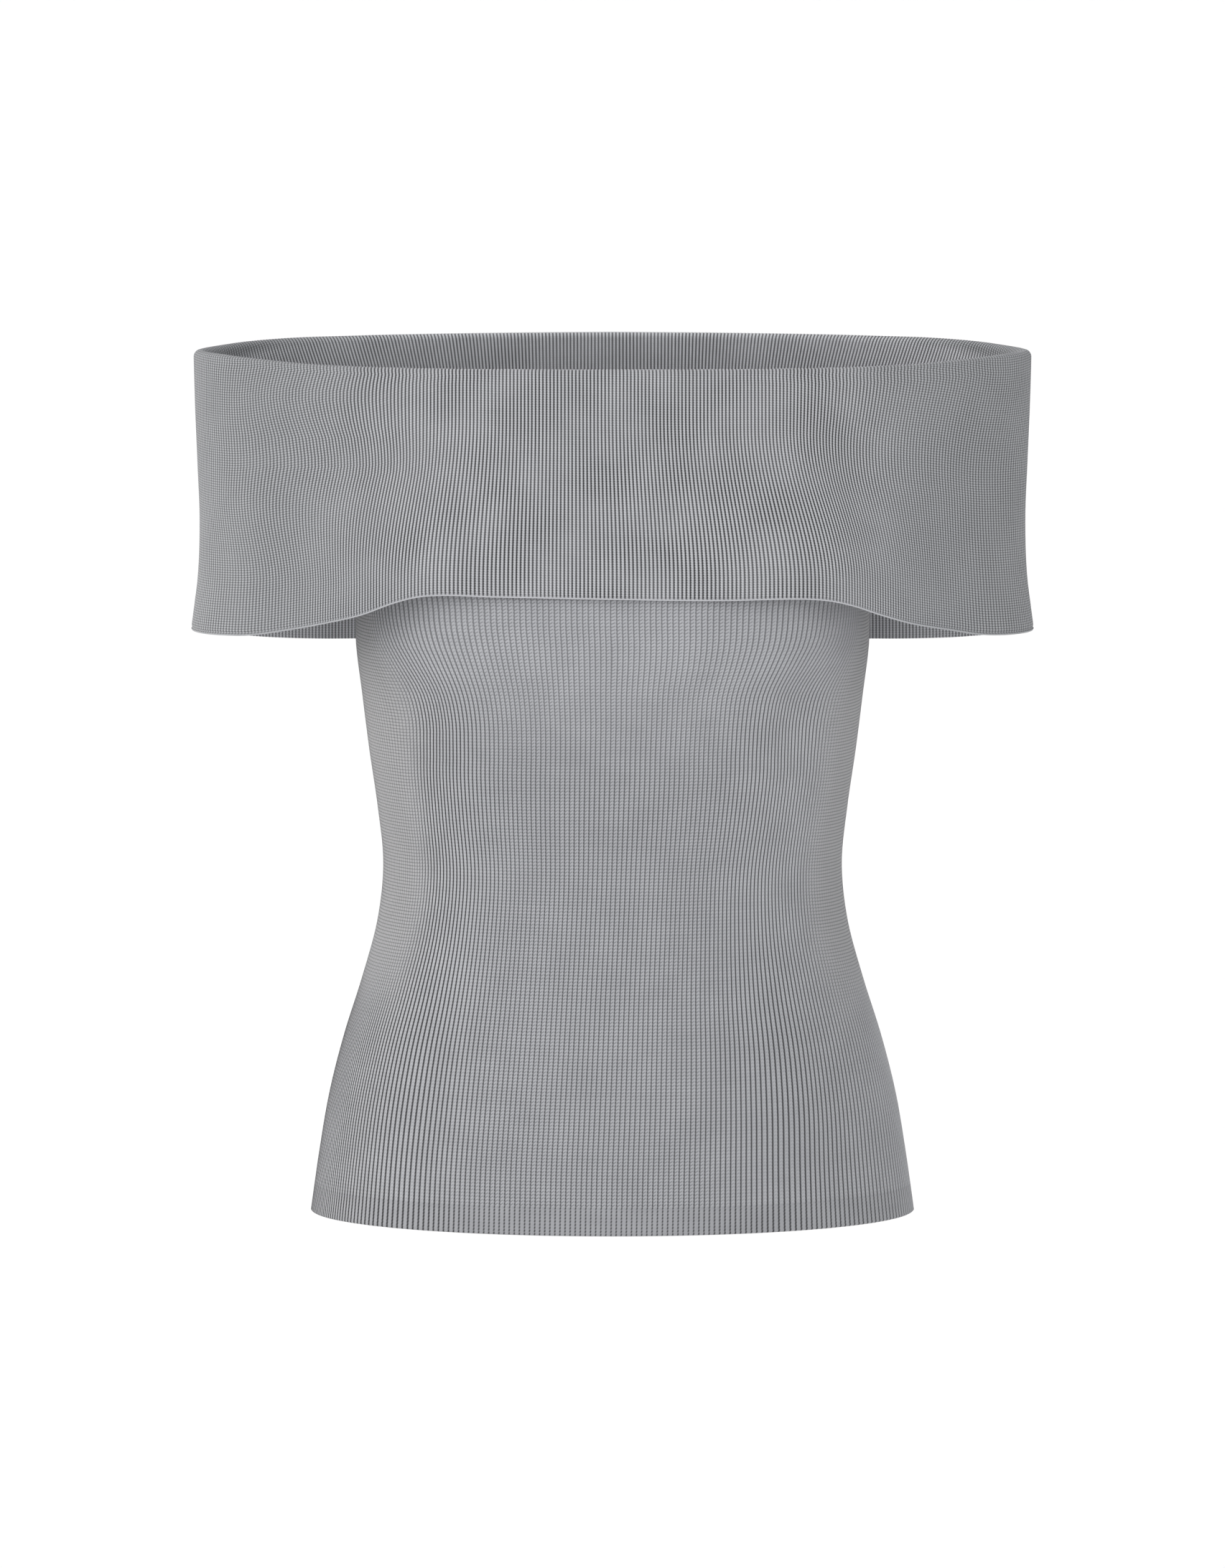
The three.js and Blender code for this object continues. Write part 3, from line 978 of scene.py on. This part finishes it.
@dataclass(frozen=True)
class BodyPanel:
    """The front or the back of the body, from the hem up past the armpits to the collar seam.

    Attributes:
        half: which one.
        ribs: how many are knitted across it.
        course_pitch: height of one course of stitches.
        row_pitch: height between two rows of points.
        edge_radius: how far the hem's edges are rounded.
        wrong_columns: how many cells the plain face behind has across.
        flat_size: width and length of the cut in metres, before it was stretched. It is not used.
        armhole_pull: over the armhole's share, the power by which its push fades towards the middle, and
            pull_powers are the least and the most that the power may be.
    """

    half: Half
    ribs: int = BODY_RIBS
    course_pitch: float = 1.75
    row_pitch: float = 5.0
    edge_radius: float = 0.8
    wrong_columns: int = 240
    flat_size: tuple[float, float] = (0.38, 0.41)
    armhole_pull: float = 0.4
    pull_powers: tuple[float, float] = (2.0, 6.0)

    @property
    def node(self) -> str:
        """The solid that it stands for."""
        return f"body_{self.half.name.lower()}"

    def levels(self) -> Array:
        """Places the rows of points, closer together at the hem's rounded edge.

        Returns:
            Their levels.
        """
        near_edge = np.array([0.0, 0.08, 0.28, 0.8, 2.4])
        top_z = STAND_SEAM_Z - CLOTH.seam_gap
        count = round((top_z - HEM_Z) / self.row_pitch)
        return np.concatenate([HEM_Z + near_edge, np.linspace(HEM_Z + self.row_pitch, top_z, count)])

    def shares(self, rib: Array, z: Array, armhole: Array) -> Array:
        """How far round the half each rib lies at each level, from 0 to 1, rows by columns.

        In front it is a rising curve through the ribs of the flow table, mirrored about the middle one and
        moved by its drift, which fades to nothing at the side seams. Behind, the ribs are evenly spaced. An
        armhole moves them inwards by its own share times a power of the rib's share of the way out from the
        middle.

        Args:
            rib: rib coordinate of each column.
            z: the levels.
            armhole: the share that the armhole takes at each level.

        Returns:
            The shares.
        """
        middle = self.ribs / 2
        away = np.abs(rib - middle)
        least_armhole = 0.01
        power = self.armhole_pull / np.maximum(armhole, least_armhole)
        power = np.clip(power, *self.pull_powers)[:, None]
        taken = np.sign(rib - middle) * armhole[:, None] * (away / middle) ** power
        if self.half is Half.BACK:
            return rib / self.ribs - taken
        row = BODY_FLOW.read(z)
        level = np.ones_like(z)
        values = np.stack([0 * level, row["rib_16"], row["rib_32"], row["rib_44"], 0.5 * level], axis=1)
        reach = rising_curve(np.array(FLOW_RIBS, float), values, away)
        fade = 1 - smooth_step(away, FLOW_RIBS[-2], FLOW_RIBS[-1])
        return 0.5 + np.sign(rib - middle) * reach - row["drift"][:, None] * fade - taken

    def face(self, rib: Array, inset: Array) -> Array:
        """Places of one face.

        Args:
            rib: rib coordinate of each column.
            inset: from the sections, rows by columns.

        Returns:
            The places, rows by columns by x, y and z.
        """
        z = self.levels()
        section, armhole = panel_section(self.half, z)
        sizes = (section.half_width, section.depth, section.power)
        section = Section(self.half, *(size[:, None] for size in sizes))
        turn = turns_at(section, self.shares(rib, z, armhole_shares(section, armhole)))
        x, y = section.place(turn, inset)
        return np.stack([x, y, np.broadcast_to(z[:, None], x.shape)], axis=-1)

    def knit_map(self, rib: Array) -> Array:
        """Rib and course of each place."""
        course = (self.levels() - HEM_Z) / self.course_pitch
        return np.stack(np.broadcast_arrays(rib[None, :], course[:, None]), axis=-1)

    def build(self, finish: bpy.types.Material) -> bpy.types.Object:
        """Builds the panel.

        The hem's edge is half an ellipse between the two faces, a side seam draws both faces in, and the ribs
        stand out of the right side by their profile's height.

        Args:
            finish: the body's knit.

        Returns:
            The panel.
        """
        rise = self.levels() - HEM_Z
        rounding = self.edge_radius * (1 - np.sqrt(1 - np.clip(1 - rise / self.edge_radius, 0, 1) ** 2))
        right_rib, height = BODY_RIB.columns(self.ribs)
        wrong_rib = np.linspace(0, self.ribs, self.wrong_columns + 1)
        grown = smooth_step(rise, 0.0, self.edge_radius)
        raised = CLOTH.rib_raise * height * grown[:, None]
        right_inset = rounding[:, None] + seam_dip(right_rib, self.ribs) - raised
        wrong_inset = CLOTH.wall - rounding[:, None] + seam_dip(wrong_rib, self.ribs)
        wall = Wall(
            self.face(right_rib, right_inset),
            self.knit_map(right_rib),
            self.face(wrong_rib, wrong_inset),
            self.knit_map(wrong_rib),
        )
        piece = place_piece(wall.mesh(self.node), self.node, finish)
        return piece


def seam_dip(rib: Array, ribs: int) -> Array:
    """How far a side seam draws the cloth in, fading over the seam's reach in ribs."""
    away = np.minimum(rib, ribs - rib)
    return CLOTH.seam_dip * np.exp(-((away / CLOTH.seam_reach * 2) ** 2))


@dataclass(frozen=True)
class CollarHalf:
    """The front or the back half of the collar: the stand, the fold and the fall with its selvedge.

    Attributes:
        half: which one.
        ribs: how many are knitted across it.
        course_pitch: height of one course of stitches.
        bead_radius: half the height of the selvedge, and bead_reach is half its thickness.
        bead_shift: how far the selvedge stands out from the middle of the wall.
        rib_growth: height above the selvedge over which the ribs rise to their full raise.
        fall_rows: rows of points between the selvedge and the fold, then those of the fold and of the stand.
        wrong_columns: how many cells the plain face behind has across.
        bead_rises: how far above the lower edge the selvedge's rows of points lie.
        stand_lean: how steeply the stand's ribs lean, and lean_drop is how far down.
    """

    half: Half
    ribs: int = 272
    course_pitch: float = 1.3
    bead_radius: float = 0.75
    bead_reach: float = 1.2
    bead_shift: float = 0.15
    rib_growth: float = 1.1
    fall_rows: int = 26
    fold_rows: int = 10
    stand_rows: int = 6
    wrong_columns: int = 272
    bead_rises: tuple[float, ...] = (0.0, 0.07, 0.25, 0.5, 0.8, 1.1, 1.3, 1.45, 1.7, 2.2, 2.9)
    stand_lean: float = 0.42
    lean_drop: float = 34.0

    @property
    def node(self) -> str:
        """The solid that it stands for."""
        return f"collar_{self.half.name.lower()}"

    def shares(self, rib: Array, z: Array, length: Array, top_length: float) -> Array:
        """How far round the half each rib of the fall lies, from 0 to 1.

        A rib starts evenly spaced along the fold. Further down it keeps its distance from the middle, and the
        change in the length round is taken up near the side seams, by the fifth power of the rib's share of
        the way out. Each push adds its amount, which fades along the collar as a cosine squared, grows down
        it as a smooth step, and ends at the seams by the eighth power of that share.

        Args:
            rib: rib coordinate of each place.
            z: level of each place.
            length: round the half at each level, and top_length is the same at the fold.

        Returns:
            The shares.
        """
        take_up_power, push_end_power = 5, 8
        outward = 2 * rib / self.ribs - 1
        even = outward * top_length / 2
        along = even + (length - top_length) / 2 * np.sign(outward) * np.abs(outward) ** take_up_power
        if self.half is Half.FRONT:
            at_seams = 1 - np.abs(outward) ** push_end_power
            for push in COLLAR_FLOW:
                near = np.cos(np.minimum(np.abs(even - push.centre) / push.reach, 1) * math.pi / 2) ** 2
                along = along + push.amount * near * at_seams * smooth_step(-z, -push.start_z, -push.full_z)
        return 0.5 + along / length

    def stand_shares(self, rib: Array, drop: Array, length: float) -> Array:
        """How far round the half each rib of the stand lies, which leans inwards on its way down.

        The lean is largest between the middle and the seams: four times the rib's share of the way out
        squared, times what that square leaves of 1.

        Args:
            rib: rib coordinate of each place.
            drop: how far below the fold's top each place lies.
            length: round the half at the fold.

        Returns:
            The shares.
        """
        outward = 2 * rib / self.ribs - 1
        between = 4 * outward**2 * (1 - outward**2)
        shift = self.stand_lean * np.minimum(drop, self.lean_drop) * between
        return rib / self.ribs - np.sign(outward) * shift / length

    def face(self, rib: Array, raised: Array, right: bool) -> tuple[Array, Array]:
        """Places of one face from the lower edge up, over the fold and down the stand.

        The fold is half a circle about a line one fold radius inside the sections. The fall hangs on the
        sections and sinks into its troughs. The stand drops straight down inside it.

        Args:
            rib: rib coordinate of each column.
            raised: how far each column stands out of its face.
            right: the right side, not the one behind.

        Returns:
            The places, rows by columns, and the knit map.
        """
        fold_radius = CLOTH.fold_radius
        radius = (fold_radius if right else fold_radius - CLOTH.wall) + raised
        lines = TurnMap.measured(self.half)
        top_length = lines.length_at(np.zeros(1))[0]
        armpit = np.full_like(rib, ARMPIT_Z)
        low_turn = lines.turn_at(armpit, self.shares(rib, armpit, lines.length_at(armpit), top_length))
        low_x, _ = collar_section(self.half, armpit).place(low_turn, 0.0)
        edge = FRONT_EDGE.read(low_x) if self.half is Half.FRONT else BACK_EDGE.read(np.abs(low_x))
        low_z = edge["z"]
        fold_turn = lines.turn_at(np.zeros_like(rib), rib / self.ribs)
        centre_z = FOLD_LINE.read(np.abs(np.cos(fold_turn)))[self.half.name.lower()] - fold_radius

        bead = np.array(self.bead_rises)[:, None]
        shares_up = (np.arange(1, self.fall_rows) / self.fall_rows)[:, None]
        bead_z = low_z + bead
        open_z = bead_z[-1] + (centre_z - bead_z[-1]) * shares_up
        fall_z = np.vstack([bead_z, open_z])
        fall_share = (centre_z - fall_z) / (centre_z - low_z)
        fall_turn = lines.turn_at(fall_z, self.shares(rib, fall_z, lines.length_at(fall_z), top_length))
        hanging_x, _ = collar_section(self.half, np.full_like(fall_z, ARMPIT_Z)).place(fall_turn, 0.0)
        rise = fall_z - low_z
        bead_top = 2 * self.bead_radius
        grown = smooth_step(rise, bead_top, bead_top + self.rib_growth)
        flat_inset = fold_radius - radius + raised * (1 - grown)
        selvedge = self.selvedge_inset(rise, right)
        fall_inset = np.minimum(flat_inset, selvedge) if right else np.maximum(flat_inset, selvedge)
        fall_inset = fall_inset + self.trough_depth(hanging_x, fall_share)

        over = (math.pi * np.arange(self.fold_rows + 1) / self.fold_rows)[:, None]
        fold_z = centre_z + radius * np.sin(over)
        fold_inset = fold_radius - radius * np.cos(over)
        down = (np.arange(1, self.stand_rows + 1) / self.stand_rows)[:, None]
        stand_z = centre_z + (STAND_SEAM_Z - centre_z) * down
        stand_inset = np.broadcast_to(fold_radius + radius, stand_z.shape)

        z = np.vstack([fall_z, fold_z, stand_z])
        upper_z = z[len(fall_z) :]
        upper_share = self.stand_shares(rib, centre_z + fold_radius - upper_z, top_length)
        turn = np.vstack([fall_turn, lines.turn_at(upper_z, upper_share)])
        inset = np.vstack([fall_inset, fold_inset, stand_inset]) + seam_dip(rib, self.ribs)
        x, y = collar_section(self.half, z).place(turn, inset)
        places = np.stack([x, y, z], axis=-1)
        steps = np.vstack([rise[:1], np.linalg.norm(np.diff(places, axis=0), axis=-1)])
        course = np.cumsum(steps, axis=0) / self.course_pitch
        return places, np.stack([np.broadcast_to(rib, z.shape), course], axis=-1)

    def selvedge_inset(self, rise: Array, right: bool) -> Array:
        """The selvedge's own surface, an ellipse about a line near the middle of the wall.

        Args:
            rise: height above the lower edge.
            right: the right side, not the one behind.

        Returns:
            The inset from the sections. Past the selvedge it is infinite, so that it changes nothing.
        """
        middle = CLOTH.wall / 2 - self.bead_shift
        off_centre = np.clip(np.abs(rise - self.bead_radius) / self.bead_radius, 0, 1)
        bulge = self.bead_reach * np.sqrt(1 - off_centre**2)
        past = rise > 2 * self.bead_radius
        if right:
            return np.where(past, np.inf, middle - bulge)
        return np.where(past, -np.inf, middle + bulge)

    def trough_depth(self, x: Array, share: Array) -> Array:
        """How far the fall sinks in: a cosine squared along the collar, growing down it as a sine.

        Args:
            x: place along the collar.
            share: of the way down the fall.

        Returns:
            The depth at each place.
        """
        depth = np.zeros_like(x)
        for trough in TROUGHS:
            if trough.half is self.half:
                away = np.minimum(np.abs(x - trough.x) / trough.half_length, 1)
                depth += trough.depth * np.cos(away * math.pi / 2) ** 2
        return depth * np.sin(np.clip(share, 0, 1) * math.pi / 2)

    def build(self, finish: bpy.types.Material) -> bpy.types.Object:
        """Builds the half collar.

        Args:
            finish: the collar's knit.

        Returns:
            The half collar.
        """
        right_rib, height = COLLAR_RIB.columns(self.ribs)
        wrong_rib = np.linspace(0, self.ribs, self.wrong_columns + 1)
        right_side = self.face(right_rib, CLOTH.rib_raise * height, True)
        wrong_side = self.face(wrong_rib, np.zeros_like(wrong_rib), False)
        wall = Wall(*right_side, *wrong_side)
        piece = place_piece(wall.mesh(self.node), self.node, finish)
        return piece


@dataclass(frozen=True)
class TurnMap:
    """Turns by level and by share of the way round half a collar, and the length round at each level."""

    # The levels that the collar needs, and how many rows and columns of turns are kept.
    SPAN = (-166.0, 6.0)
    ROWS = 60
    COLUMNS = 2001

    levels: Array
    turns: Array
    lengths: Array

    @classmethod
    def measured(cls, half: Half) -> "TurnMap":
        """Measures the collar's sections at evenly spaced levels.

        Args:
            half: which half of the collar.

        Returns:
            The map.
        """
        levels = np.linspace(*cls.SPAN, cls.ROWS)
        flat = collar_section(half, levels)
        section = Section(half, flat.half_width[:, None], flat.depth[:, None], flat.power[:, None])
        _, length = lengths_round(section)
        shares = np.tile(np.linspace(0, 1, cls.COLUMNS), (len(levels), 1))
        return cls(levels, turns_at(section, shares), length[:, -1])

    def length_at(self, z: Array) -> Array:
        """The length round the half at levels z."""
        return np.interp(z, self.levels, self.lengths)

    def turn_at(self, z: Array, share: Array) -> Array:
        """Reads the turn, mixed from the four nearest entries.

        Args:
            z: level of each place.
            share: of the way round, for each place.

        Returns:
            The turns.
        """
        row = (z - self.levels[0]) / (self.levels[1] - self.levels[0])
        column = np.clip(share, 0, 1) * (self.turns.shape[1] - 1)
        i = np.clip(np.floor(row).astype(int), 0, len(self.levels) - 2)
        j = np.clip(np.floor(column).astype(int), 0, self.turns.shape[1] - 2)
        up, across = row - i, column - j
        low = self.turns[i, j] * (1 - across) + self.turns[i, j + 1] * across
        high = self.turns[i + 1, j] * (1 - across) + self.turns[i + 1, j + 1] * across
        return low * (1 - up) + high * up


@dataclass(frozen=True)
class Sun:
    """A wide sun: the way towards it, its strength, its spread in degrees and its colour."""

    name: str
    toward: Way
    strength: float
    spread: float
    colour: str


@dataclass(frozen=True)
class Studio:
    """Plain pale floor, soft light from the left, from above and from in front, and the camera, in metres.

    Attributes:
        camera_place: of the camera, and aim is what it looks at.
        frame_height: height of the picture at the aim's distance.
        sensor: width of the camera's sensor in millimetres.
        floor_z: level of the floor, as far below the top as when it is worn.
        floor_size: width of it.
        suns: the one behind on the left and the one above.
        key_place: of the square soft light before the collar, which fades towards the hem, and key_aim is
            where it points.
        key_size: width of it, and key_power is its power in watts.
        sky_strength: of the sky, and sky_left is what it gains to the left and loses to the right.
    """

    camera_place: Way = (0.0, -6.0, 0.3373)
    aim: Way = (0.0, 0.0, -0.2327)
    frame_height: float = 0.841
    sensor: float = 36.0
    floor_z: float = -1.35
    floor_size: float = 240.0
    floor_colour: str = "#fefefe"
    suns: tuple[Sun, ...] = (
        Sun("side_light", (-1.0, 0.3, 0.02), 1.7, 40.0, "#fffaf2"),
        Sun("top_light", (0.0, -0.45, 1.0), 0.27, 60.0, "#ffffff"),
    )
    key_place: Way = (0.0, -0.8, -0.04)
    key_aim: Way = (0.0, -0.1, -0.1)
    key_size: float = 0.6
    key_power: float = 1.28
    sky_strength: float = 0.91
    sky_left: float = 0.43

    def camera(self) -> None:
        """A long lens, so that the picture's height at the aim is the frame's."""
        place, aim = Vector(self.camera_place), Vector(self.aim)
        data = bpy.data.cameras.new("camera")
        data.sensor_width = self.sensor
        data.lens = self.sensor * (aim - place).length / self.frame_height
        data.clip_end = 1000.0
        camera = bpy.data.objects.new("camera", data)
        camera.location = place
        camera.rotation_euler = (aim - place).to_track_quat("-Z", "Y").to_euler()
        bpy.context.scene.collection.objects.link(camera)
        bpy.context.scene.camera = camera

    def floor(self) -> None:
        """One large square of matt white paint, an even pale ground with no gloss."""
        reach = self.floor_size / 2
        corners = [(-reach, -reach), (reach, -reach), (reach, reach), (-reach, reach)]
        mesh = bpy.data.meshes.new("floor")
        mesh.from_pydata([(x, y, self.floor_z) for x, y in corners], [], [(0, 1, 2, 3)])
        paint = bpy.data.materials.new("matt_white_painted_floor")
        paint.use_nodes = True
        surface = paint.node_tree.nodes["Principled BSDF"]
        surface.inputs["Base Color"].default_value = srgb(self.floor_colour)
        surface.inputs["Roughness"].default_value = 0.95
        mesh.materials.append(paint)
        floor = bpy.data.objects.new("floor", mesh)
        bpy.context.scene.collection.objects.link(floor)

    def lights(self) -> None:
        """Wide suns, the soft light in front, and a sky that is brighter on the left."""
        for sun in self.suns:
            data = bpy.data.lights.new(sun.name, "SUN")
            data.energy = sun.strength
            data.angle = math.radians(sun.spread)
            data.color = srgb(sun.colour)[:3]
            light = bpy.data.objects.new(sun.name, data)
            light.rotation_euler = Vector(sun.toward).to_track_quat("Z", "Y").to_euler()
            bpy.context.scene.collection.objects.link(light)
        data = bpy.data.lights.new("key_light", "AREA")
        data.size = self.key_size
        data.energy = self.key_power
        key = bpy.data.objects.new("key_light", data)
        key.location = self.key_place
        toward_key = Vector(self.key_place) - Vector(self.key_aim)
        key.rotation_euler = toward_key.to_track_quat("Z", "Y").to_euler()
        key.visible_camera = False
        bpy.context.scene.collection.objects.link(key)
        world = bpy.data.worlds.new("soft_sky")
        world.use_nodes = True
        tree = world.node_tree
        tree.nodes.clear()
        way = add(tree, "SeparateXYZ", {0: add(tree, "TexCoord", {}).outputs["Generated"]})
        slope = [way.outputs["X"], -self.sky_left, self.sky_strength]
        strength = add(tree, "Math", slope, operation="MULTIPLY_ADD")
        sky = add(tree, "Background", {"Color": srgb("#ffffff"), "Strength": strength})
        add(tree, "OutputWorld", {"Surface": sky})
        bpy.context.scene.world = world

    def build(self) -> None:
        """Sets up everything round the top."""
        self.camera()
        self.floor()
        self.lights()
        bpy.context.scene.view_settings.view_transform = "Standard"


def main() -> None:
    """Builds the studio and the four pieces."""
    logging.basicConfig(level=logging.INFO, format="%(name)s: %(message)s")
    Studio().build()
    body_finish = BODY_KNIT.material()
    collar_finish = COLLAR_KNIT.material()
    for half in Half:
        BodyPanel(half).build(body_finish)
        CollarHalf(half).build(collar_finish)


if __name__ == "__main__":
    main()
